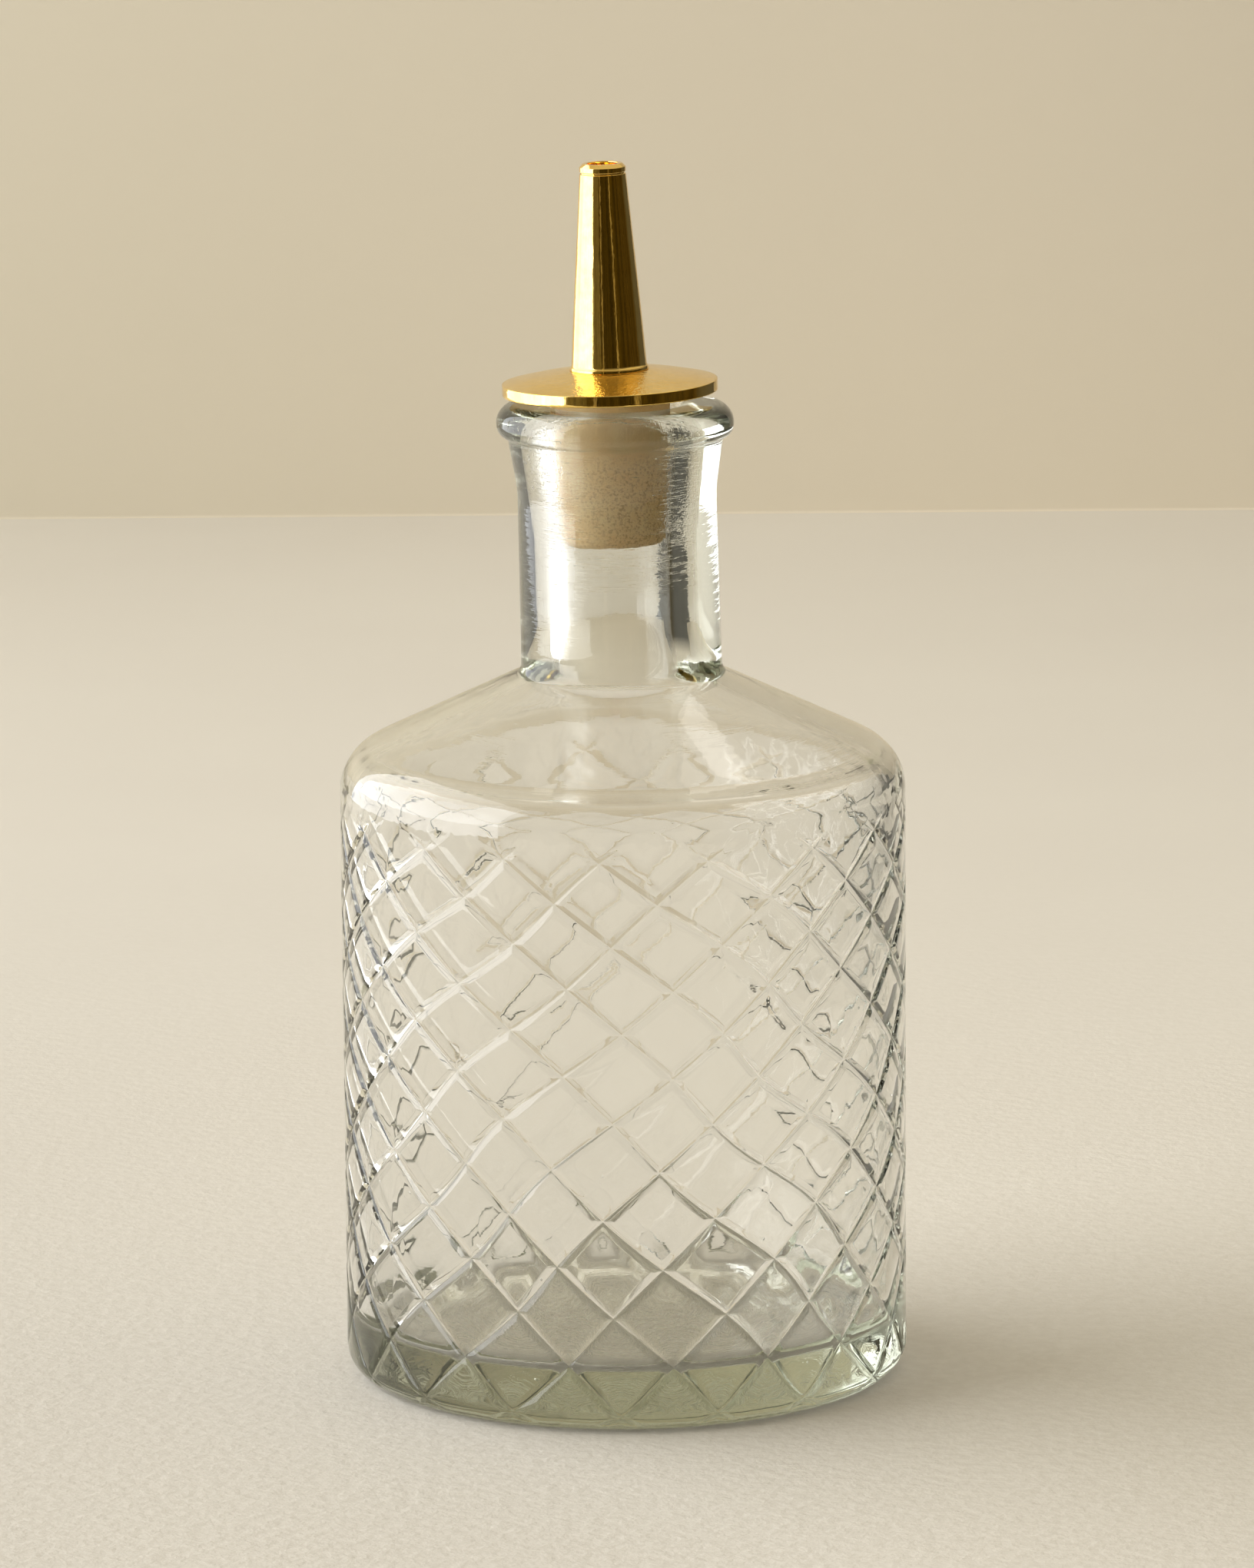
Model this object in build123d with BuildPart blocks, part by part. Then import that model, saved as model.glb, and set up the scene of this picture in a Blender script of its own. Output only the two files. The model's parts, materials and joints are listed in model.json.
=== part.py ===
from build123d import *

import os
from math import cos, radians, sin, tan

# A cut-glass bitters bottle with a lift-out dasher top.
# The origin is the middle of the flat base, +Z runs up the bottle's axis,
# and -Y is the side that the cut pattern's front column faces. All lengths are in millimetres.

# Glass body
body_radius = 35.0
body_height = 77.5  # where the shoulder's slope would meet the straight side
wall = 2.4
base_thickness = 7.1
base_edge_radius = 3.2
inner_floor_radius = 2.5
shoulder_slope = 25.4  # degrees
shoulder_edge_radius = 6.5
inner_shoulder_radius = 2.2

# Neck and rolled rim
neck_radius = 12.4
neck_length = 33.2
neck_foot_fillet = 1.5
waist_radius = 12.25
flare_length = 6.2
flare_radius = 13.25
flare_bend_radius = 15.0
rim_radius = 14.6
rim_height = 4.3
rim_underside_rise = 0.7
rim_neck_fillet = 0.8
rim_lower_radius = 1.6
rim_upper_radius = 2.4
bore_radius = 7.0
bore_foot_radius = 16.0
mouth_radius = 7.7
mouth_edge_radius = 1.5

# Cut pattern: two opposite families of helical V grooves that cross as diamonds
diamonds_around = 17
diamond_rows = 6
pattern_foot = 1.8
pattern_height = 68.8
pattern_turn = -92.7  # degrees from +X to the lowest point of the first diamond column
groove_width = 1.8
groove_depth = 0.55
overrun = 0.3  # how far a groove's cutter stands out of the glass

# Seat of the dasher top, which leans a little in the neck
seat_tilt = 1.5  # degrees towards -X
stopper_length = 18.0
stopper_clearance = 0.35
stopper_edge_radius = 0.8
flange_rise = 0.9  # from the rim to the flange's underside

# Flange disc
flange_radius = 13.25
flange_thickness = 1.4
flange_edge_chamfer = 0.12

# Spout
spout_length = 27.2
spout_foot_radius = 4.75
spout_bend_height = 8.7
spout_bend_radius = 4.2
spout_tip_radius = 2.85
tip_chamfer = 0.45
tip_groove_drop = 1.0
tip_groove_width = 0.3
tip_groove_depth = 0.12
foot_ring_radius = 5.1
foot_ring_height = 0.6
foot_ring_fillet = 0.25

# Stem tube, which carries the flange and the spout and runs through the stopper
stem_radius = 3.0
passage_radius = 1.9
socket_depth = 2.0
stem_recess = 0.6  # from the stopper's lower face up to the tube's end
stem_gap = 0.05  # all round the tube, for braze or a pressed fit

# Heights and radii that follow from the sizes above
slope_rise = tan(radians(shoulder_slope))
neck_foot = body_height + (body_radius - neck_radius) * slope_rise
rim_top = neck_foot + neck_length
rim_underside = rim_top - rim_height
waist_height = rim_underside - flare_length
inner_radius = body_radius - wall
inner_cone_drop = wall / cos(radians(shoulder_slope))
inner_shoulder = body_height + wall * slope_rise - inner_cone_drop
bore_foot = inner_shoulder + (inner_radius - bore_radius) * slope_rise
stopper_top = stopper_length / 2
stopper_foot = -stopper_top
seat_height = rim_top + flange_rise - stopper_top
bore_taper_foot = seat_height + stopper_foot
flange_top = stopper_top + flange_thickness
spout_tip = flange_top + spout_length
stem_hole_radius = stem_radius + stem_gap

# The dasher top's own section plane, with its Y along the leaning axis and its origin halfway
# down the stopper on the bottle's axis
lean = radians(seat_tilt)
seat_section = Plane(
    origin=(0, 0, seat_height), x_dir=(cos(lean), 0, sin(lean)), z_dir=(0, -1, 0)
)
seat_axis = Axis((0, 0, seat_height), (-sin(lean), 0, cos(lean)))


def groove_cutter(lefthand):
    """One helical V cutter, from the lowest point of a diamond column up to a peak."""
    turn_share = diamond_rows / diamonds_around
    with BuildPart() as cutter:
        with BuildLine() as path:
            Helix(
                pitch=pattern_height / turn_share,
                height=pattern_height,
                radius=body_radius,
                center=(0, 0, pattern_foot),
                lefthand=lefthand,
            )
        start = path.line @ 0
        across = Plane(origin=start, x_dir=(start.X, start.Y, 0), z_dir=path.line % 0)
        flare = (groove_depth + overrun) / groove_depth
        half_width = flare * groove_width / 2
        with BuildSketch(across):
            with BuildLine():
                Polyline(
                    (overrun, -half_width), (overrun, half_width), (-groove_depth, 0), close=True
                )
            make_face()
        sweep(path=path.line, is_frenet=True)
    return cutter.part


os.makedirs("parts", exist_ok=True)

right_hand_groove = groove_cutter(lefthand=False)
left_hand_groove = groove_cutter(lefthand=True)

# Glass bottle: one blown piece, thick in the base and the neck, with the pattern cut into its side
with BuildPart() as glass_bottle:
    with BuildSketch(Plane.XZ):
        with BuildLine():
            FilletPolyline(
                (0, 0),
                (body_radius, 0),
                (body_radius, body_height),
                (neck_radius, neck_foot),
                (waist_radius, waist_height),
                (flare_radius, rim_underside),
                (rim_radius, rim_underside + rim_underside_rise),
                (rim_radius, rim_top),
                (mouth_radius, rim_top),
                (bore_radius, bore_taper_foot),
                (bore_radius, bore_foot),
                (inner_radius, inner_shoulder),
                (inner_radius, base_thickness),
                (0, base_thickness),
                radius=[
                    0,
                    base_edge_radius,
                    shoulder_edge_radius,
                    neck_foot_fillet,
                    flare_bend_radius,
                    rim_neck_fillet,
                    rim_lower_radius,
                    rim_upper_radius,
                    mouth_edge_radius,
                    0,
                    bore_foot_radius,
                    inner_shoulder_radius,
                    inner_floor_radius,
                    0,
                ],
                close=True,
            )
        make_face()
    revolve(axis=Axis.Z)
    for groove in (right_hand_groove, left_hand_groove):
        with PolarLocations(0, diamonds_around, start_angle=pattern_turn):
            add(groove, mode=Mode.SUBTRACT)
glass_bottle.part.label = "glass_bottle"
export_step(glass_bottle.part, "parts/glass_bottle.step")

# Stopper: a tapered plug that follows the neck's bore, with a hole for the stem tube
with BuildPart() as stopper:
    with BuildSketch(seat_section):
        with BuildLine():
            FilletPolyline(
                (stem_hole_radius, stopper_foot),
                (bore_radius - stopper_clearance, stopper_foot),
                (mouth_radius - stopper_clearance, stopper_top),
                (stem_hole_radius, stopper_top),
                radius=[0, stopper_edge_radius, 0, 0],
                close=True,
            )
        make_face()
    revolve(axis=seat_axis)
stopper.part.label = "stopper"
export_step(stopper.part, "parts/stopper.step")

# Flange disc: a plain turned disc on the stopper, holed for the stem tube
with BuildPart() as flange_disc:
    with BuildSketch(seat_section):
        with BuildLine():
            Polyline(
                (stem_hole_radius, stopper_top),
                (flange_radius, stopper_top),
                (flange_radius, flange_top),
                (stem_hole_radius, flange_top),
                close=True,
            )
        make_face()
    revolve(axis=seat_axis)
    outer_face = flange_disc.faces().filter_by(GeomType.CYLINDER).sort_by(SortBy.RADIUS)[-1]
    chamfer(outer_face.edges().filter_by(GeomType.CIRCLE), flange_edge_chamfer)
flange_disc.part.label = "flange_disc"
export_step(flange_disc.part, "parts/flange_disc.step")

# Spout: a hollow taper in two slopes, with a ring round its foot and a bevelled tip
with BuildPart() as spout:
    with BuildSketch(seat_section):
        with BuildLine():
            groove_top = spout_tip - tip_groove_drop
            groove_foot = groove_top - tip_groove_width
            FilletPolyline(
                (stem_hole_radius, flange_top),
                (foot_ring_radius, flange_top),
                (foot_ring_radius, flange_top + foot_ring_height),
                (spout_foot_radius, flange_top + foot_ring_height),
                (spout_bend_radius, flange_top + spout_bend_height),
                (spout_tip_radius, groove_foot),
                (spout_tip_radius - tip_groove_depth, groove_foot),
                (spout_tip_radius - tip_groove_depth, groove_top),
                (spout_tip_radius, groove_top),
                (spout_tip_radius, spout_tip - tip_chamfer),
                (spout_tip_radius - tip_chamfer, spout_tip),
                (passage_radius, spout_tip),
                (passage_radius, flange_top + socket_depth),
                (stem_hole_radius, flange_top + socket_depth),
                radius=[0, 0, foot_ring_fillet] + [0] * 11,
                close=True,
            )
        make_face()
    revolve(axis=seat_axis)
spout.part.label = "spout"
export_step(spout.part, "parts/spout.step")

# Stem tube: it ends in the spout's socket above and inside the stopper below
with BuildPart() as stem_tube:
    with BuildSketch(seat_section):
        with BuildLine():
            Polyline(
                (passage_radius, stopper_foot + stem_recess),
                (stem_radius, stopper_foot + stem_recess),
                (stem_radius, flange_top + socket_depth),
                (passage_radius, flange_top + socket_depth),
                close=True,
            )
        make_face()
    revolve(axis=seat_axis)
stem_tube.part.label = "stem_tube"
export_step(stem_tube.part, "parts/stem_tube.step")
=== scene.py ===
import bisect
import json
import math
import random

import bpy
from mathutils import Matrix, Vector, noise


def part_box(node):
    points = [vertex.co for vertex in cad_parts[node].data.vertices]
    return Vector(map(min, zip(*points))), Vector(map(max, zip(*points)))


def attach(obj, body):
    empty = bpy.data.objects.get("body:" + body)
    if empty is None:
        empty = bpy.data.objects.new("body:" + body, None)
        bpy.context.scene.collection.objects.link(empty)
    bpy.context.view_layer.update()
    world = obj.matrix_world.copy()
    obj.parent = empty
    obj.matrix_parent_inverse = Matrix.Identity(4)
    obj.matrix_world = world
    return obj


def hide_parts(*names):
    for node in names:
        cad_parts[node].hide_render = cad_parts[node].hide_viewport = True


# A cut-glass bitters bottle with a gold-coloured dasher top, on a pale table by a window.
# Lengths are written in millimetres and turned into metres as they are used.
mm = 0.001
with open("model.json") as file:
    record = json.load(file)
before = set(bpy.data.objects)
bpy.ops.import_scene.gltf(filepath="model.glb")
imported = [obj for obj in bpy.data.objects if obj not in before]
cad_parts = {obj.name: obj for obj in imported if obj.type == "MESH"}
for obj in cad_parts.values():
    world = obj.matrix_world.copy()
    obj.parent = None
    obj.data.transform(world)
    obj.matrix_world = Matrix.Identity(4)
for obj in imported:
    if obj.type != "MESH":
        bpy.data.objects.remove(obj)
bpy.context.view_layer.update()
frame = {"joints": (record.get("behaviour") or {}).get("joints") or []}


# Sizes taken from the CAD frame
_, bottle_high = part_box("glass_bottle")
body_radius = bottle_high.x / mm
rim_top = bottle_high.z / mm
lift_axis = Vector(frame["joints"][0]["axis"]).normalized()

# Glass body
shoulder_slope = math.radians(25.4)
body_height = 77.5
wall = 2.4
base_thickness = 7.1
base_edge_radius = 3.2
inner_floor_radius = 2.5
shoulder_edge_radius = 6.5
inner_shoulder_radius = 3.2
underside_rise = 0.9
underside_bend_width = 3
underside_bend_share = 0.6  # of the rise, where the hollow bends down to the foot
underside_bend_radius = 20
foot_ring_width = 5.0
foot_ring_inner_radius = 2  # of the rounding at the ring's inner edge
hub_radius = 0.4  # inside it a fan of faces closes the middle

# Neck and rolled rim
neck_radius = 12.4
neck_foot_fillet = 1.5
waist_radius = 12.25
flare_radius = 13.25
flare_length = 6.2
flare_bend_radius = 15
rim_radius = 14.6
rim_height = 4.3
rim_underside_rise = 0.7
rim_neck_fillet = 0.8
rim_lower_radius = 1.6
rim_upper_radius = 2.4
bore_radius = 6.6
bore_foot_radius = 10.0
mouth_radius = 7.7
mouth_edge_radius = 1.5

# Cut pattern, in lattice units: a column step is half a diamond across, a level is half a diamond down
diamonds_around = 17
last_level = 12
pattern_turn = math.radians(-92.7)
pattern_top = 70.7
first_level_drop = 5.053
level_drop_growth = 0.057
groove_width = 1.75
groove_depth = 0.26
line_spacing = 8.58
groove_half = groove_width / line_spacing
crease_share = 0.11  # of half the groove's width
crease_depth = 0.22  # of the groove's depth

# Bubbles in the glass
base_seed_count = 80
wall_seed_count = 14
base_seed_sizes = [0.05, 0.07, 0.07, 0.1, 0.14]

# Dasher top
stopper_length = 18.35
stopper_clearance = 0.3
flange_rise = 1.25
flange_thickness = 1.4
flange_radius = 13.25
flange_dome = 1.45  # how far the disc's top rises from its edge to the spout's foot
flange_bend_width = 3.5
flange_bend_share = 0.52  # of the dome, where its slope changes
foot_ring_radius = 4.85
foot_ring_height = 0.4
spout_length = 25.4
spout_foot_radius = 4.64
spout_foot_rise = 0.55
spout_bend_height = 6.9
spout_bend_radius = 4.2
spout_tip_radius = 2.85
tip_chamfer = 0.45
tip_groove_top = 1.0  # below the tip
tip_groove_foot = 1.3  # below the tip
tip_groove_slant = 0.08
tip_groove_depth = 0.12
stem_radius = 3.0
stem_gap = 0.05
stem_recess = 0.6  # from the stopper's lower face up to the tube's end
socket_depth = 2
passage_radius = 1.9

# Heights and radii that follow from the sizes above
seat_height = rim_top + flange_rise - stopper_length / 2
stem_hole_radius = stem_radius + stem_gap
neck_foot = body_height + (body_radius - neck_radius) * math.tan(shoulder_slope)
rim_underside = rim_top - rim_height
waist_height = rim_underside - flare_length
inner_radius = body_radius - wall
inner_cone_drop = wall / math.cos(shoulder_slope)
inner_shoulder = body_height + wall * math.tan(shoulder_slope) - inner_cone_drop
bore_foot = inner_shoulder + (inner_radius - bore_radius) * math.tan(shoulder_slope)
bore_taper_foot = seat_height - stopper_length / 2

# Lean of the blown neck, and how far the bore and the stopper stand off its middle
neck_lean = math.tan(math.radians(1.15))
lean_start = 2  # below the neck's foot
lean_bend = 3  # about the height over which the lean comes in
bore_shift = -0.25
stopper_shift = -0.2


def neck_shift(height):
    """How far the blown neck leans towards -X at a height."""
    past = max(0.0, height - neck_foot + lean_start)
    return -neck_lean * past * past / (past + lean_bend)


dice = random.Random(7)


# Outlines


def rounded(points, radii, arc_step=7.5, longest=3.0):
    """A polyline through the points with each inner corner rounded to its radius."""
    line = [Vector(points[0])]
    for before, corner, after, radius in zip(points, points[1:], points[2:], radii):
        before, corner, after = Vector(before), Vector(corner), Vector(after)
        if radius <= 0:
            line.append(corner)
            continue
        inward = (before - corner).normalized()
        onward = (after - corner).normalized()
        turn = math.pi - inward.angle(onward)
        reach = radius * math.tan(turn / 2)
        centre = corner + (inward + onward).normalized() * (radius / math.cos(turn / 2))
        start = corner + inward * reach - centre
        side = 1 if start.y * inward.x - start.x * inward.y > 0 else -1
        steps = max(2, math.ceil(math.degrees(turn) / arc_step))
        for k in range(steps + 1):
            swing = side * turn * k / steps
            line.append(centre + Matrix.Rotation(swing, 2) @ start)
    line.append(Vector(points[-1]))
    full = [line[0]]
    for a, b in zip(line, line[1:]):
        length = (b - a).length
        if length < 1e-6:
            continue
        parts = max(1, math.ceil(length / longest))
        full += [a.lerp(b, k / parts) for k in range(1, parts + 1)]
    return full


def bottle_outline():
    """Half of the bottle's section, from the middle of the underside round to that of the inner floor."""
    foot_inner = body_radius - base_edge_radius - foot_ring_width
    points = [
        (hub_radius, underside_rise),
        (foot_inner - underside_bend_width, underside_rise * underside_bend_share),
        (foot_inner, 0),
        (body_radius, 0),
        (body_radius, body_height),
        (neck_radius, neck_foot),
        (waist_radius, waist_height),
        (flare_radius, rim_underside),
        (rim_radius, rim_underside + rim_underside_rise),
        (rim_radius, rim_top),
        (mouth_radius, rim_top),
        (bore_radius, bore_taper_foot),
        (bore_radius, bore_foot),
        (inner_radius, inner_shoulder),
        (inner_radius, base_thickness),
        (hub_radius, base_thickness),
    ]
    radii = [
        underside_bend_radius,
        foot_ring_inner_radius,
        base_edge_radius,
        shoulder_edge_radius,
        neck_foot_fillet,
        flare_bend_radius,
        rim_neck_fillet,
        rim_lower_radius,
        rim_upper_radius,
        mouth_edge_radius,
        0,
        bore_foot_radius,
        inner_shoulder_radius,
        inner_floor_radius,
    ]
    return rounded(points, radii, arc_step=6.5, longest=1.8)


# Glass bottle


def run_lengths(line):
    """How far along the line each of its points is, with the body's side measured as its height."""
    runs = [0.0]
    for a, b in zip(line, line[1:]):
        runs.append(runs[-1] + (b - a).length)
    side = next(k for k, p in enumerate(line) if p.x > body_radius - 1e-3 and p.y > base_edge_radius + 1)
    shift = line[side].y - runs[side]
    return [run + shift for run in runs]


def point_at(line, runs, run):
    """The point of the line that is a given way along it."""
    k = min(max(1, bisect.bisect_left(runs, run)), len(line) - 1)
    share = (run - runs[k - 1]) / (runs[k] - runs[k - 1])
    return line[k - 1].lerp(line[k], share)


def level_run(level, foot_run):
    """How far along the outline a level of the pattern is, as a height on the straight side."""
    capped = min(level, last_level)
    height = pattern_top - first_level_drop * capped - level_drop_growth * capped * capped
    if level > last_level:
        height += (level - last_level) * (foot_run - height)
    return height


def groove_share(offset):
    """Depth of a groove at an offset from its middle, in lattice units."""
    off = abs((offset + 1) % 2 - 1) / groove_half
    crease = max(0.0, 1 - off / crease_share)
    return max(0.0, 1 - off) * (1 - crease_depth) + crease * crease_depth


def ease(low, high, value):
    """A smooth step from 0 at the low value to 1 at the high one."""
    t = min(1.0, max(0.0, (value - low) / (high - low)))
    return t * t * (3 - 2 * t)


def round_noise(angle, height, wavelength, seed):
    """Smooth noise over the side of the body that joins up all the way round."""
    reach = body_radius / wavelength
    place = Vector((math.cos(angle) * reach, math.sin(angle) * reach, height / wavelength + seed * 17.3))
    return noise.noise(place)


def hand_sway(angle, height):
    """How far the cutter's hand strayed along the side and up it, in millimetres."""
    swing_middle, swing_height = 52, 44
    swing = (height - swing_middle) * 2 * math.pi / swing_height + 2 * math.sin(angle * 3)
    across = 0.9 * math.sin(swing)
    across += 1.1 * round_noise(angle, height, 26, 1)
    rise = 0.7 * round_noise(angle, height, 22, 2)
    return across, rise


def cut_depth(angle, height, level):
    """Depth of the cuts at a place, which fades out over the pattern's first and last points."""
    depth = groove_depth * (1 + 0.45 * round_noise(angle, height, 14, 3))
    depth *= ease(-0.4, 0.15, level) * (1 - ease(last_level + 0.1, last_level + 0.4, level))
    return max(0.0, depth)


def outer_wave(angle, height):
    """Slow swell of the outside, in millimetres."""
    return 0.02 * round_noise(angle, height, 17, 4)


def inner_wave(radius, angle, height):
    """Ripples that blowing leaves on the inside, in millimetres."""
    share = radius / body_radius
    low = 0.04 * round_noise(angle, height, 19, 5) + 0.012 * round_noise(angle, height, 7, 6)
    low *= min(1.0, share * 1.3)
    on_cone = ease(bore_foot - 12, bore_foot - 8, height) * ease(bore_radius + 2, bore_radius + 4, radius)
    ring_spacing, ring_height = 2.6, 0.03
    rings = math.sin(radius * 2 * math.pi / ring_spacing + 3 * round_noise(angle, 0, 30, 7))
    return low + on_cone * ring_height * rings * (0.6 + round_noise(angle, height, 12, 8))


# Where the grid's lines stand from one groove to the next, in lattice units, close together in the groove
offsets = [0, 0.022, 0.1, groove_half - 0.018, groove_half + 0.02, 0.48, 0.74]
offsets = offsets + [1.0] + [2 - x for x in reversed(offsets[1:])]
steps_per_line = len(offsets)
around = diamonds_around * steps_per_line


def lattice_value(index):
    """Place of a line of the grid, in lattice units."""
    turns, step = divmod(index, steps_per_line)
    return 2 * turns + offsets[step]


def bottle_mesh():
    """The glass as one closed skin: its cut side on a lattice, and the rest on plain rings."""
    line = bottle_outline()
    runs = run_lengths(line)
    foot_k = max(k for k, p in enumerate(line) if p.y < 1e-4 and runs[k] < 0)
    foot_run = runs[foot_k]
    top_level, low_level = -1, last_level + 1
    top_run = level_run(top_level, foot_run)
    vertices = []
    faces = []

    # The cut side, on a grid that follows both families of grooves
    grid = {}
    shift_top = steps_per_line * top_level
    rows = steps_per_line * (low_level - top_level)

    def grid_vertex(i, j):
        """Vertex where line i of the rising family meets line j of the falling one."""
        a, b = lattice_value(i), lattice_value(j)
        key = (i % around, j - around * (i // around))
        if key in grid:
            return grid[key]
        column, level = (a + b) / 2, (a - b) / 2
        run = level_run(level, foot_run)
        angle = pattern_turn + column * math.pi / diamonds_around
        fade = ease(top_level, 0, level) * (1 - ease(last_level, low_level, level))
        across, rise = hand_sway(angle, run)
        run = min(max(run + rise * fade, foot_run), top_run)
        angle += across * fade / body_radius
        place = point_at(line, runs, run)
        depth = max(groove_share(a), groove_share(b)) * cut_depth(angle, run, level)
        depth -= outer_wave(angle, run)
        low = place.y < base_edge_radius
        radius = place.x - depth * (0.9 if low else 1)
        height = place.y + (depth * 0.3 if low and place.y > 0.3 else 0)
        grid[key] = len(vertices)
        vertices.append((radius * math.cos(angle), radius * math.sin(angle), height))
        return grid[key]

    for i in range(around):
        for step in range(-1, rows):
            # Cell between lines i and i + 1, and j and j + 1, where level falls as j rises
            j = i - shift_top - 1 - step
            corner = [(i, j), (i + 1, j), (i + 1, j + 1), (i, j + 1)]
            levels = [(p - q) for p, q in corner]
            inside = [shift_top <= lv <= steps_per_line * low_level for lv in levels]
            if all(inside):
                v = [grid_vertex(p, q) for p, q in corner]
                near_a = (lattice_value(i) + lattice_value(i + 1)) / 2
                near_b = (lattice_value(j) + lattice_value(j + 1)) / 2
                off_a = (near_a + 1) % 2 - 1
                off_b = (near_b + 1) % 2 - 1
                if off_a * off_b > 0:
                    faces += [(v[0], v[1], v[2]), (v[0], v[2], v[3])]
                else:
                    faces += [(v[0], v[1], v[3]), (v[1], v[2], v[3])]
            elif sum(inside) == 3:
                faces.append(tuple(grid_vertex(p, q) for (p, q), ok in zip(corner, inside) if ok))

    def edge_ring(level):
        return [grid_vertex(i, i - steps_per_line * level) for i in range(around)]

    def plain_ring(place, inner):
        ring = []
        for i in range(around):
            angle = ring_angles[i]
            radius, height = place
            shift = neck_shift(height)
            if inner:
                radius += inner_wave(radius, angle, height)
                up_neck = ease(neck_foot - 8, neck_foot, height)
                shift += bore_shift * up_neck * (1 - ease(rim_top - 2, rim_top, height))
            else:
                radius += outer_wave(angle, height) * min(1.0, radius / body_radius * 1.2)
            ring.append(len(vertices))
            vertices.append((radius * math.cos(angle) + shift, radius * math.sin(angle), height))
        return ring

    def join(lower, upper):
        for i in range(around):
            k = (i + 1) % around
            faces.append((lower[i], lower[k], upper[k], upper[i]))

    def cap(ring, height, facing_up):
        centre = len(vertices)
        vertices.append((0, 0, height))
        for i in range(around):
            k = (i + 1) % around
            faces.append((ring[i], ring[k], centre) if facing_up else (ring[k], ring[i], centre))

    top_ring = edge_ring(top_level)
    foot_ring = edge_ring(low_level)
    ring_angles = [math.atan2(vertices[v][1], vertices[v][0]) for v in top_ring]
    last = top_ring
    mouth_k = max(range(len(line)), key=lambda k: (round(line[k].y, 4), -line[k].x))
    for k, place in enumerate(line):
        if runs[k] > top_run + 0.2:
            ring = plain_ring(place, k > mouth_k)
            join(last, ring)
            last = ring
    cap(last, base_thickness, True)

    # The foot ring's vertices start half a turn of the lattice further on, so they are matched by angle
    foot_angles = [math.atan2(vertices[v][1], vertices[v][0]) for v in foot_ring]
    first = ring_angles[0]
    start = min(range(around), key=lambda i: abs(math.remainder(foot_angles[i] - first, 2 * math.pi)))
    last = foot_ring[start:] + foot_ring[:start]
    for k in range(foot_k - 1, -1, -1):
        ring = plain_ring(line[k], False)
        join(ring, last)
        last = ring
    cap(last, line[0].y, False)
    return vertices, faces


def add_piece(name, vertices, faces):
    """A smooth-shaded object from vertices in millimetres."""
    mesh = bpy.data.meshes.new(name)
    mesh.from_pydata([[c * mm for c in v] for v in vertices], [], faces)
    mesh.validate()
    mesh.update()
    mesh.shade_smooth()
    piece = bpy.data.objects.new(name, mesh)
    bpy.context.scene.collection.objects.link(piece)
    return piece


def seed_sphere(vertices, faces, centre, radius, stretch):
    """A small closed bubble whose faces look inward, towards the air in it."""
    first = len(vertices)
    ring_count, segment_count = 5, 8
    for ring in range(1, ring_count):
        polar = math.pi * ring / ring_count
        across = math.sin(polar)
        for segment in range(segment_count):
            turn = 2 * math.pi * segment / segment_count
            offset = Vector((across * math.cos(turn), across * math.sin(turn), math.cos(polar)))
            offset *= radius
            offset += stretch * offset.dot(stretch)
            vertices.append(tuple(centre + offset))
    top, bottom = len(vertices), len(vertices) + 1
    pole = Vector((0, 0, radius))
    pole += stretch * pole.dot(stretch)
    vertices.append(tuple(centre + pole))
    vertices.append(tuple(centre - pole))
    for ring in range(ring_count - 2):
        for segment in range(segment_count):
            a = first + ring * segment_count + segment
            b = first + ring * segment_count + (segment + 1) % segment_count
            faces.append((a, b, b + segment_count, a + segment_count))
    for segment in range(segment_count):
        a = first + segment
        b = first + (segment + 1) % segment_count
        faces.append((b, a, top))
        a += (ring_count - 2) * segment_count
        b += (ring_count - 2) * segment_count
        faces.append((a, b, bottom))


def add_seeds(vertices, faces):
    """Bubbles in the thick base, and a few long ones in the wall."""
    for _ in range(base_seed_count):
        radius = body_radius * 0.9 * math.sqrt(dice.random())
        angle = dice.uniform(0, 2 * math.pi)
        height = dice.uniform(1.6, base_thickness - 1.0)
        size = dice.choice(base_seed_sizes)
        centre = Vector((radius * math.cos(angle), radius * math.sin(angle), height))
        seed_sphere(vertices, faces, centre, size, Vector((0, 0, 0)))
    for _ in range(wall_seed_count):
        angle = dice.uniform(0, 2 * math.pi)
        height = dice.uniform(14, 70)
        radius = body_radius - dice.uniform(1.4, 2.8)
        centre = Vector((radius * math.cos(angle), radius * math.sin(angle), height))
        seed_sphere(vertices, faces, centre, dice.uniform(0.06, 0.13), Vector((0, 0, 0.8)))


# Turned pieces of the dasher top


def lathe(name, outline, segments=192):
    """Turns a closed outline of (radius, height) about the leaning axis."""
    tilt = Vector((0, 0, 1)).rotation_difference(lift_axis).to_matrix()
    seat = Vector((neck_shift(seat_height) + bore_shift + stopper_shift, 0, seat_height))
    vertices = []
    faces = []
    count = len(outline)
    for s in range(segments):
        angle = 2 * math.pi * s / segments
        for radius, height in outline:
            spot = Vector((radius * math.cos(angle), radius * math.sin(angle), height))
            vertices.append(tuple(seat + tilt @ spot))
    for s in range(segments):
        t = (s + 1) % segments
        for k in range(count):
            m = (k + 1) % count
            faces.append((s * count + k, t * count + k, t * count + m, s * count + m))
    return add_piece(name, vertices, faces)


def closed_outline(points, radii, arc_step=15, longest=1.2):
    """A rounded closed outline. The first point keeps its sharp corner, and the last side returns to it."""
    ring = rounded(points + [points[0]], radii, arc_step, longest)
    return [tuple(p) for p in ring[:-1]]


def stopper_outline():
    """The plug, which follows the bore with a clearance all round."""
    half = stopper_length / 2
    points = [
        (stem_hole_radius, -half),
        (bore_radius - stopper_clearance, -half),
        (mouth_radius - stopper_clearance, half),
        (stem_hole_radius, half),
    ]
    return closed_outline(points, [1.1, 0.3, 0])


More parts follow.
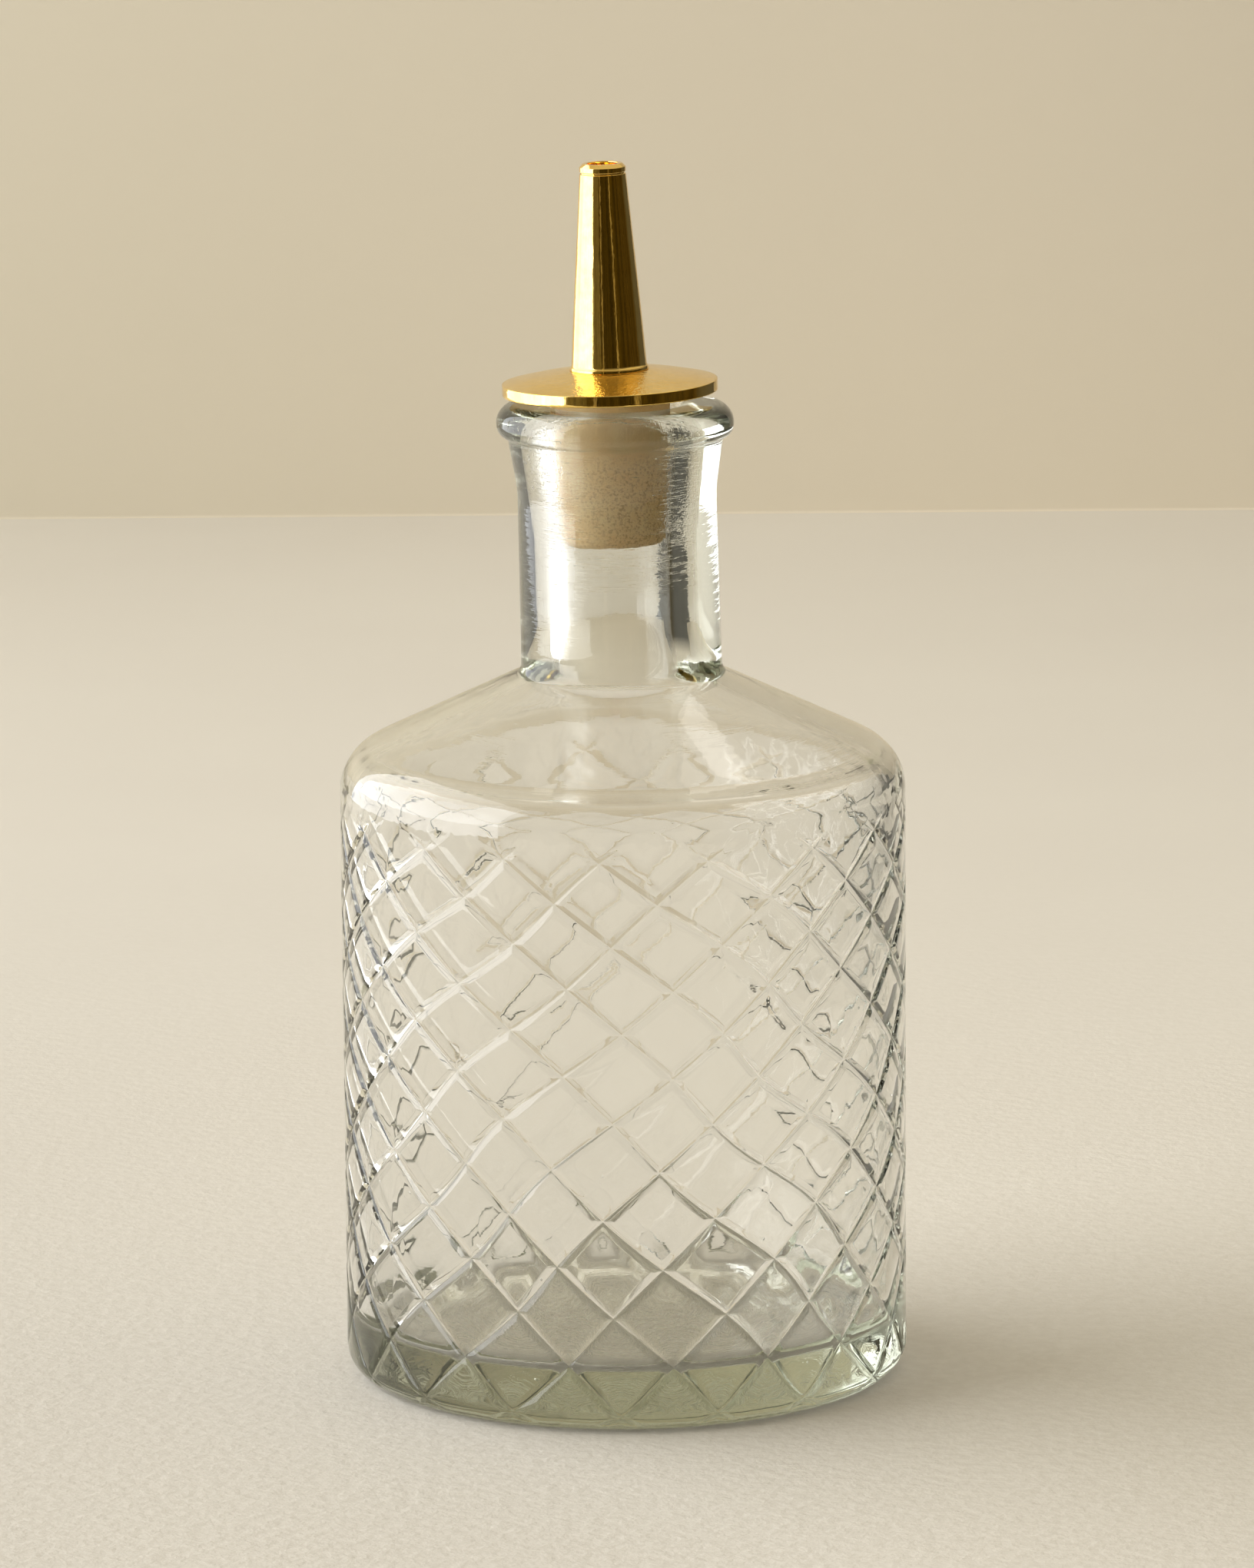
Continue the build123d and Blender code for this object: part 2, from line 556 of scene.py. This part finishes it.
def flange_outline():
    """The disc, whose top rises in two slopes to the spout's foot."""
    low = stopper_length / 2
    high = low + flange_thickness
    points = [
        (stem_hole_radius, low),
        (flange_radius, low),
        (flange_radius, high),
        (flange_radius - flange_bend_width, high + flange_dome * flange_bend_share),
        (foot_ring_radius + 0.3, high + flange_dome),
        (stem_hole_radius, high + flange_dome),
    ]
    return closed_outline(points, [0.14, 0.1, 12, 0.3, 0], 15, 0.3)


def spout_outline():
    """The hollow taper, with a ring round its foot and a fine groove under its bevelled tip."""
    foot = stopper_length / 2 + flange_thickness + flange_dome
    tip = foot + spout_length
    groove_radius = spout_tip_radius - tip_groove_depth
    points = [
        (stem_hole_radius, foot),
        (foot_ring_radius, foot),
        (foot_ring_radius, foot + foot_ring_height),
        (spout_foot_radius, foot + spout_foot_rise),
        (spout_bend_radius, foot + spout_bend_height),
        (spout_tip_radius, tip - tip_groove_foot),
        (groove_radius, tip - tip_groove_foot + tip_groove_slant),
        (groove_radius, tip - tip_groove_top - tip_groove_slant),
        (spout_tip_radius, tip - tip_groove_top),
        (spout_tip_radius, tip - tip_chamfer),
        (spout_tip_radius - tip_chamfer, tip),
        (passage_radius, tip),
        (passage_radius, foot + socket_depth),
        (stem_hole_radius, foot + socket_depth),
    ]
    radii = [0.06, 0.2, 0.5, 6.0, 0.05, 0.04, 0.04, 0.05, 0.1, 0.1, 0.12, 0, 0]
    return closed_outline(points, radii, 12, 1.0)


def stem_outline():
    """The tube from inside the stopper up into the spout's socket."""
    low = -stopper_length / 2 + stem_recess
    high = stopper_length / 2 + flange_thickness + flange_dome + socket_depth
    points = [
        (passage_radius, low),
        (stem_radius, low),
        (stem_radius, high),
        (passage_radius, high),
    ]
    return closed_outline(points, [0.25, 0, 0], 15, 4)


# Materials


class Graph:
    """Short ways to add and join a material's nodes."""

    def __init__(self, name):
        self.material = bpy.data.materials.new(name)
        self.material.use_nodes = True
        self.tree = self.material.node_tree
        self.shader = self.tree.nodes["Principled BSDF"]

    def node(self, kind, **settings):
        made = self.tree.nodes.new("ShaderNode" + kind)
        for key, value in settings.items():
            setattr(made, key, value)
        return made

    def link(self, source, target):
        self.tree.links.new(source, target)

    def feed(self, target, value):
        if isinstance(value, bpy.types.NodeSocket):
            self.link(value, target)
        else:
            target.default_value = value

    def place(self, scale=(1, 1, 1)):
        """The object's own coordinates in millimetres, times a scale."""
        where = self.node("TexCoord").outputs["Object"]
        mapping = self.node("Mapping")
        mapping.inputs["Scale"].default_value = [s / mm for s in scale]
        self.link(where, mapping.inputs["Vector"])
        return mapping.outputs["Vector"]

    def noise(self, place, scale, detail=2.0, rough=0.5):
        made = self.node("TexNoise")
        self.link(place, made.inputs["Vector"])
        made.inputs["Scale"].default_value = scale
        made.inputs["Detail"].default_value = detail
        made.inputs["Roughness"].default_value = rough
        return made.outputs["Fac"]

    def ramp(self, fac, stops):
        made = self.node("ValToRGB")
        made.color_ramp.elements[0].position = stops[0][0]
        made.color_ramp.elements[0].color = (*stops[0][1], 1)
        made.color_ramp.elements[1].position = stops[-1][0]
        made.color_ramp.elements[1].color = (*stops[-1][1], 1)
        for position, colour in stops[1:-1]:
            made.color_ramp.elements.new(position).color = (*colour, 1)
        self.link(fac, made.inputs["Fac"])
        return made.outputs["Color"]

    def range(self, value, low, high, to_low, to_high):
        made = self.node("MapRange")
        self.link(value, made.inputs["Value"])
        made.inputs["From Min"].default_value = low
        made.inputs["From Max"].default_value = high
        made.inputs["To Min"].default_value = to_low
        made.inputs["To Max"].default_value = to_high
        return made.outputs["Result"]

    def math(self, operation, a, b=0.0):
        made = self.node("Math", operation=operation)
        self.feed(made.inputs[0], a)
        self.feed(made.inputs[1], b)
        return made.outputs[0]

    def mix(self, fac, a, b, blend="MIX"):
        made = self.node("Mix", data_type="RGBA", blend_type=blend)
        self.feed(made.inputs["Factor"], fac)
        self.feed(made.inputs["A"], a)
        self.feed(made.inputs["B"], b)
        return made.outputs["Result"]

    def bump(self, height, distance, strength=1.0, normal=None):
        made = self.node("Bump")
        self.link(height, made.inputs["Height"])
        made.inputs["Distance"].default_value = distance * mm
        made.inputs["Strength"].default_value = strength
        if normal:
            self.link(normal, made.inputs["Normal"])
        return made.outputs["Normal"]

    def split(self, place):
        made = self.node("SeparateXYZ")
        self.link(place, made.inputs[0])
        return made.outputs


def linear(red, green, blue):
    """A colour as seen on a screen, 0 to 255, as the numbers that shaders take."""
    made = []
    for value in (red, green, blue):
        share = value / 255
        made.append(share / 12.92 if share <= 0.04045 else ((share + 0.055) / 1.055) ** 2.4)
    return made


# Distance from the middle over which the glass passes from the bore's skin to the outer one
bore_skin = 8.4
outer_skin = 9.4


def blowing_marks(g, place, radius, z):
    """Faint marks of the blowing and turning, which run round the bottle, strongest in the neck."""
    marks = g.noise(g.place((0.12, 0.12, 1.1)), 1.0, 3, 0.6)
    marks = g.math("MULTIPLY", marks, g.range(z, neck_foot, neck_foot + 8, 0.15, 1))
    marks = g.math("MULTIPLY", marks, g.range(radius, bore_skin, outer_skin, 0.3, 1))
    normal = g.bump(marks, 0.02)
    return g.bump(g.noise(place, 0.35, 1), 0.012, 1, normal)


def ring_marks(g, place, radius, turn, z, normal):
    """Rings of fine ripples inside the shoulder, on the inner floor and under the base."""
    ring_place = g.node("CombineXYZ")
    g.link(g.math("MULTIPLY", radius, 1.1), ring_place.inputs[0])
    g.link(g.math("MULTIPLY", turn, 2.2), ring_place.inputs[1])
    g.link(g.math("MULTIPLY", z, 0.2), ring_place.inputs[2])
    rings = g.noise(ring_place.outputs[0], 1.0, 3, 0.6)
    slope = g.math("ADD", z, g.math("MULTIPLY", radius, math.tan(shoulder_slope)))
    inner_slope = body_height + body_radius * math.tan(shoulder_slope) - 1.3
    inside = g.range(slope, inner_slope, inner_slope + 0.4, 1, 0)
    in_shoulder = g.math("MULTIPLY", inside, g.range(z, 72, 76, 0, 1))
    low = g.range(z, base_thickness + 0.3, base_thickness + 0.8, 1, 0)
    in_base = g.math("MULTIPLY", low, g.range(radius, 30, 32, 1, 0))
    patches = g.range(g.noise(place, 0.1, 1), 0.48, 0.62, 0.05, 1)
    in_shoulder = g.math("MULTIPLY", in_shoulder, patches)
    normal = g.bump(g.math("MULTIPLY", rings, in_shoulder), 0.035, 1, normal)
    return g.bump(g.math("MULTIPLY", rings, in_base), 0.11, 1, normal)


def neck_marks(g, place, in_bore, x, z, normal):
    """Grain and scratches in the bore, and pits under the rim."""
    by_stopper = g.math("MULTIPLY", in_bore, g.range(z, bore_taper_foot - 2, bore_taper_foot + 2, 0, 1))
    by_stopper = g.math("MULTIPLY", by_stopper, g.range(x, -4, 7, 0.5, 1.3))
    normal = g.bump(g.math("MULTIPLY", g.noise(place, 2.4, 2, 0.6), by_stopper), 0.032, 1, normal)
    scratches = g.range(g.noise(g.place((0.3, 0.3, 5)), 1.0, 2), 0.54, 0.62, 0, 1)
    below = g.math("MULTIPLY", in_bore, g.range(z, bore_taper_foot - 6, bore_taper_foot - 3, 0, 1))
    normal = g.bump(g.math("MULTIPLY", scratches, below), 0.012, 1, normal)
    pits = g.range(g.noise(place, 1.3, 3, 0.7), 0.6, 0.68, 0, 1)
    high = g.range(z, waist_height - 3, waist_height + 3, 0, 1)
    under_rim = g.math("MULTIPLY", high, g.range(x, -11, -5, 1, 0))
    return g.bump(g.math("MULTIPLY", pits, under_rim), 0.05, 1, normal)


def glass_material():
    """Clear glass with a faint olive tint in its thickness, and haze in the left of the bore."""
    g = Graph("clear_glass")
    shader = g.shader
    shader.inputs["Base Color"].default_value = (1, 1, 1, 1)
    shader.inputs["Transmission Weight"].default_value = 1
    shader.inputs["IOR"].default_value = 1.5
    place = g.place()
    x, y, z = g.split(place)
    radius = g.math("SQRT", g.math("ADD", g.math("MULTIPLY", x, x), g.math("MULTIPLY", y, y)))
    turn = g.math("ARCTAN2", y, x)
    in_bore = g.range(radius, bore_skin, outer_skin, 1, 0)
    normal = blowing_marks(g, place, radius, z)
    normal = ring_marks(g, place, radius, turn, z, normal)
    normal = neck_marks(g, place, in_bore, x, z, normal)
    g.link(normal, shader.inputs["Normal"])
    film = g.noise(place, 0.2, 4, 0.7)
    on_left = g.math("MULTIPLY", in_bore, g.range(x, -7, -3.5, 0.32, 0))
    haze = g.math("MULTIPLY", on_left, g.range(z, 92, 96, 0, 1))
    g.link(g.math("ADD", g.range(film, 0.45, 0.8, 0.0, 0.06), haze), shader.inputs["Roughness"])
    absorb = g.node("VolumeAbsorption")
    absorb.inputs["Color"].default_value = (0.69, 0.715, 0.61, 1)
    absorb.inputs["Density"].default_value = 37
    output = g.tree.nodes["Material Output"]
    g.link(absorb.outputs[0], output.inputs["Volume"])
    return g.material


def brass_material(name, satin):
    """Gold-coloured brass. Satin, from 0 to 1, dulls and mottles the polish of faces that look up."""
    g = Graph(name)
    shader = g.shader
    shader.inputs["Metallic"].default_value = 1
    place = g.place()
    looks_up = g.range(g.split(g.node("NewGeometry").outputs["True Normal"])[2], 0.6, 0.8, 0, satin)
    worn = g.noise(place, 0.6, 4, 0.65)
    colour = g.ramp(worn, [(0.3, (0.92, 0.62, 0.16)), (0.6, (0.97, 0.68, 0.21)), (0.8, (1.0, 0.73, 0.27))])
    g.link(colour, shader.inputs["Base Color"])
    streak = g.noise(g.place((3, 3, 0.12)), 1.0, 3, 0.6)
    spots = g.noise(place, 2.2, 4, 0.7)
    rough = g.math("ADD", g.range(streak, 0.35, 0.75, 0.03, 0.08), g.range(spots, 0.55, 0.8, 0, 0.07))
    rough = g.math("ADD", rough, g.math("MULTIPLY", looks_up, 0.1))
    g.link(rough, shader.inputs["Roughness"])
    normal = g.bump(streak, 0.008)
    normal = g.bump(g.noise(place, 0.5, 2), 0.03, 1, normal)
    normal = g.bump(g.math("MULTIPLY", g.noise(place, 1.5, 3, 0.6), looks_up), 0.1, 1, normal)
    g.link(normal, shader.inputs["Normal"])
    return g.material


def stopper_material():
    """Matte cream with a fine grain, and dark flecks that thicken towards the right and stop at the top."""
    g = Graph("stopper_silicone")
    shader = g.shader
    place = g.place()
    cloud = g.noise(place, 0.25, 4, 0.6)
    colour = g.ramp(cloud, [(0.3, linear(255, 216, 152)), (0.7, linear(255, 230, 176))])
    grain = g.noise(place, 3.0, 4, 0.75)
    x, _, z = g.split(place)
    flecks = g.math("MULTIPLY", g.range(grain, 0.5, 0.6, 0, 1), g.range(x, -5, 5, 0.25, 0.9))
    flecks = g.math("MULTIPLY", flecks, g.range(z, rim_top - 7, rim_top - 4, 1, 0))
    colour = g.mix(flecks, colour, (*linear(186, 140, 90), 1))
    g.link(colour, shader.inputs["Base Color"])
    g.link(g.range(cloud, 0, 1, 0.5, 0.75), shader.inputs["Roughness"])
    g.link(g.bump(grain, 0.12), shader.inputs["Normal"])
    return g.material


def floor_material():
    """A pale table with a fine texture near the bottle, and painted shade that darkens it a little at the
    left.
    """
    g = Graph("stage_floor")
    shader = g.shader
    place = g.place()
    speck = g.noise(place, 0.55, 4, 0.6)
    cloud = g.noise(place, 0.012, 2)
    x, y, _ = g.split(place)
    near = g.range(y, -60, 350, 1, 0)
    colour = g.mix(cloud, (*linear(226, 221, 211), 1), (*linear(231, 227, 217), 1))
    shade = g.mix(g.range(speck, 0.38, 0.66, 0, 1), (0.955, 0.95, 0.94, 1), (1.02, 1.02, 1.02, 1))
    shade = g.mix(near, (1, 1, 1, 1), shade)
    # Painted shade, which darkens the table a little at the left, most near the bottle
    painted_left_shade = g.math("MULTIPLY", g.range(x, -90, 30, 1, 0), g.range(y, 0, 350, 1, 0.3))
    shade = g.mix(painted_left_shade, shade, g.mix(1.0, shade, (0.88, 0.88, 0.885, 1), "MULTIPLY"))
    g.link(g.mix(1.0, colour, shade, "MULTIPLY"), shader.inputs["Base Color"])
    shader.inputs["Roughness"].default_value = 0.65
    shader.inputs["Specular IOR Level"].default_value = 0.25
    g.link(g.bump(g.math("MULTIPLY", speck, near), 0.22), shader.inputs["Normal"])
    return g.material


def wall_material():
    """A warm pale wall with painted shade that darkens it a little at the left, and not seen from behind."""
    g = Graph("stage_wall")
    shader = g.shader
    place = g.place()
    cloud = g.noise(place, 0.004, 2)
    colour = g.mix(cloud, (*linear(236, 226, 205), 1), (*linear(241, 231, 210), 1))
    # Painted shade, which darkens the wall a little at the left
    painted_left_shade = g.range(g.split(place)[0], -140, 60, 1, 0)
    colour = g.mix(painted_left_shade, colour, g.mix(1.0, colour, (0.92, 0.93, 0.925, 1), "MULTIPLY"))
    g.link(colour, shader.inputs["Base Color"])
    shader.inputs["Roughness"].default_value = 0.9
    shader.inputs["Specular IOR Level"].default_value = 0.1
    see_through = g.node("BsdfTransparent")
    back = g.node("NewGeometry").outputs["Backfacing"]
    mixed = g.node("MixShader")
    g.link(back, mixed.inputs[0])
    g.link(shader.outputs[0], mixed.inputs[1])
    g.link(see_through.outputs[0], mixed.inputs[2])
    g.link(mixed.outputs[0], g.tree.nodes["Material Output"].inputs["Surface"])
    return g.material


# Stage

table_left, table_right = -470, 250
wall_left, wall_right = -560, 430
table_front, wall_y = -450, 670
wall_height = 900
cove = 0.5
cove_steps = 8
table_drop = 0.1  # the table lies just under the bottle, so that the two don't share a face


def build_stage():
    """A pale table that turns up into a wall behind the bottle."""
    floor_line = [(table_front, 0), (-200, 0), (200, 0), (wall_y - cove - 60, 0)]
    cove_line = []
    for k in range(cove_steps + 1):
        turn = math.pi / 2 * k / cove_steps
        cove_line.append((wall_y - cove + cove * math.sin(turn), cove - cove * math.cos(turn)))
    wall_line = [(wall_y, 120), (wall_y, wall_height)]
    floor = ("stage_floor", floor_line + [cove_line[0]], (table_left, table_right), floor_material())
    back = ("stage_wall", cove_line + wall_line, (wall_left, wall_right), wall_material())
    for name, line, ends, material in (floor, back):
        vertices = []
        for y, z in line:
            vertices += [(x, y, z - table_drop) for x in ends]
        faces = [(2 * k, 2 * k + 1, 2 * k + 3, 2 * k + 2) for k in range(len(line) - 1)]
        piece = add_piece(name, vertices, faces)
        piece.data.materials.append(material)


def area_light(name, place, target, width, height, radiance, colour):
    """A flat soft light of a plain radiance, facing a point. Lengths in metres."""
    data = bpy.data.lights.new(name, "AREA")
    data.shape = "RECTANGLE"
    data.size, data.size_y = width, height
    data.energy = radiance * math.pi * width * height
    data.color = colour
    light = bpy.data.objects.new(name, data)
    light.location = place
    light.rotation_euler = (Vector(target) - Vector(place)).to_track_quat("-Z", "Y").to_euler()
    bpy.context.scene.collection.objects.link(light)


def build_world():
    """A room with a pale ceiling, bright on the window's side and dim behind the camera and to the right."""
    world = bpy.data.worlds.new("room")
    bpy.context.scene.world = world
    world.use_nodes = True
    tree = world.node_tree
    nodes, links = tree.nodes, tree.links
    background = nodes["Background"]
    way = nodes.new("ShaderNodeTexCoord").outputs["Generated"]
    split = nodes.new("ShaderNodeSeparateXYZ")
    links.new(way, split.inputs[0])
    x, y, z = split.outputs

    def ramp(value, low, high, stops):
        spread = nodes.new("ShaderNodeMapRange")
        links.new(value, spread.inputs["Value"])
        spread.inputs["From Min"].default_value = low
        spread.inputs["From Max"].default_value = high
        made = nodes.new("ShaderNodeValToRGB")
        elements = made.color_ramp.elements
        for k, (position, colour) in enumerate(stops):
            element = elements[k] if k < 2 else elements.new(position)
            element.position = position
            element.color = (*colour, 1)
        links.new(spread.outputs["Result"], made.inputs[0])
        return made.outputs[0]

    dark = (0.046, 0.032, 0.005)
    far_side = (0.055, 0.038, 0.01)
    dim = (0.125, 0.105, 0.055)
    dusk = (0.045, 0.032, 0.007)
    bright = (1.25, 1.25, 1.25)
    slit = (0.4, 0.33, 0.2)
    # Round the horizon, from the window's side at 0 to the far side at 1, past two slits of light.
    # The two ends come first, because a new ramp already has them
    stops = [(0.0, bright), (1.0, far_side)]
    stops += [(0.1, bright), (0.14, dim), (0.28, dim), (0.31, dusk)]
    stops += [(0.34, dusk), (0.352, slit), (0.366, slit), (0.378, dusk), (0.72, dusk)]
    stops += [(0.735, slit), (0.742, slit), (0.757, dark)]
    horizon = ramp(x, -1, 1, stops)
    streaks = nodes.new("ShaderNodeMapping")
    streaks.inputs["Scale"].default_value = (16, 16, 1.2)
    links.new(way, streaks.inputs["Vector"])
    uneven = nodes.new("ShaderNodeTexNoise")
    uneven.inputs["Scale"].default_value = 1.0
    links.new(streaks.outputs["Vector"], uneven.inputs["Vector"])
    level = ramp(uneven.outputs["Fac"], 0.3, 0.7, [(0.0, (0.55, 0.55, 0.55)), (1.0, (1.5, 1.5, 1.5))])
    streaked = nodes.new("ShaderNodeMix")
    streaked.data_type = "RGBA"
    streaked.blend_type = "MULTIPLY"
    streaked.inputs["Factor"].default_value = 1.0
    links.new(horizon, streaked.inputs["A"])
    links.new(level, streaked.inputs["B"])
    horizon = streaked.outputs["Result"]
    behind = ramp(y, 0.25, 0.4, [(0.0, (0, 0, 0)), (1.0, (1, 1, 1))])
    ceiling = ramp(z, 0.15, 0.55, [(0.0, (0, 0, 0)), (1.0, (1, 1, 1))])
    # The ceiling behind the camera is in shade
    shade = ramp(y, -0.65, -0.3, [(0.0, (0.3, 0.3, 0.3)), (1.0, (1, 1, 1))])
    shaded = nodes.new("ShaderNodeMath")
    shaded.operation = "MULTIPLY"
    links.new(ceiling, shaded.inputs[0])
    links.new(shade, shaded.inputs[1])
    ceiling = shaded.outputs[0]
    colour = horizon
    for share, over in ((behind, (0.1, 0.095, 0.08, 1)), (ceiling, (0.66, 0.59, 0.455, 1))):
        mixed = nodes.new("ShaderNodeMix")
        mixed.data_type = "RGBA"
        links.new(share, mixed.inputs["Factor"])
        links.new(colour, mixed.inputs["A"])
        mixed.inputs["B"].default_value = over
        colour = mixed.outputs["Result"]
    links.new(colour, background.inputs["Color"])
    background.inputs["Strength"].default_value = 1.0


def build_lights():
    """A big window at the left, and a small lamp above and behind the bottle. Lengths in metres."""
    build_world()
    area_light(
        "window",
        place=(-1.4, 0.4, 0.6),
        target=(0, 0.4, 0.6),
        width=3.1,
        height=2.8,
        radiance=2.9,
        colour=(0.98, 1.0, 1.04),
    )
    area_light(
        "ceiling_lamp",
        place=(0.05, 0.62, 0.9),
        target=(0, 0, 0.09),
        width=0.46,
        height=0.16,
        radiance=1.2,
        colour=(1.0, 0.98, 0.94),
    )


# Camera

camera_place = (0, -1.0132, 0.2703)  # in metres
camera_yaw = math.radians(-0.03)
camera_pitch = math.radians(10.98)
camera_roll = math.radians(-0.43)
lens_length = 239.36
sensor_width = 36


def build_camera():
    """A camera fitted to the photo, about a metre away and looking down a little."""
    data = bpy.data.cameras.new("camera")
    data.sensor_fit = "HORIZONTAL"
    data.sensor_width = sensor_width
    data.lens = lens_length
    data.clip_start, data.clip_end = 0.05, 20
    camera = bpy.data.objects.new("camera", data)
    turn = Matrix.Rotation(camera_yaw, 4, "Z")
    turn = turn @ Matrix.Rotation(math.pi / 2 - camera_pitch, 4, "X") @ Matrix.Rotation(camera_roll, 4, "Z")
    camera.matrix_world = Matrix.Translation(camera_place) @ turn
    bpy.context.scene.collection.objects.link(camera)
    bpy.context.scene.camera = camera


# Putting it together


def build_object():
    """Builds each piece, gives it its material, ties it to its body, and hides the imported part of its
    node; the slot in each row is not used.
    """
    vertices, faces = bottle_mesh()
    add_seeds(vertices, faces)
    bottle = add_piece("bottle_glass", vertices, faces)
    stopper = lathe("stopper_plug", stopper_outline())
    flange = lathe("flange_plate", flange_outline(), 256)
    spout = lathe("spout_taper", spout_outline())
    stem = lathe("stem_pipe", stem_outline(), 96)
    brass = brass_material("polished_brass", 0)
    satin_brass = brass_material("satin_brass", 1)
    parts = (
        (bottle, "bottle", "glass_bottle", "clear_glass", glass_material()),
        (stopper, "dasher_top", "stopper", "stopper_silicone", stopper_material()),
        (flange, "dasher_top", "flange_disc", "polished_brass", satin_brass),
        (spout, "dasher_top", "spout", "polished_brass", brass),
        (stem, "dasher_top", "stem_tube", "polished_brass", brass),
    )
    for piece, body, node, slot, material in parts:
        piece.data.materials.append(material)
        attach(piece, body)
        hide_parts(node)


def set_render():
    """Plain colours, and enough bounces for light to get through the glass many times."""
    scene = bpy.context.scene
    scene.view_settings.view_transform = "Standard"
    scene.cycles.max_bounces = 24
    scene.cycles.transmission_bounces = 24
    scene.cycles.glossy_bounces = 12
    scene.cycles.transparent_max_bounces = 16


build_object()
build_stage()
build_lights()
build_camera()
set_render()
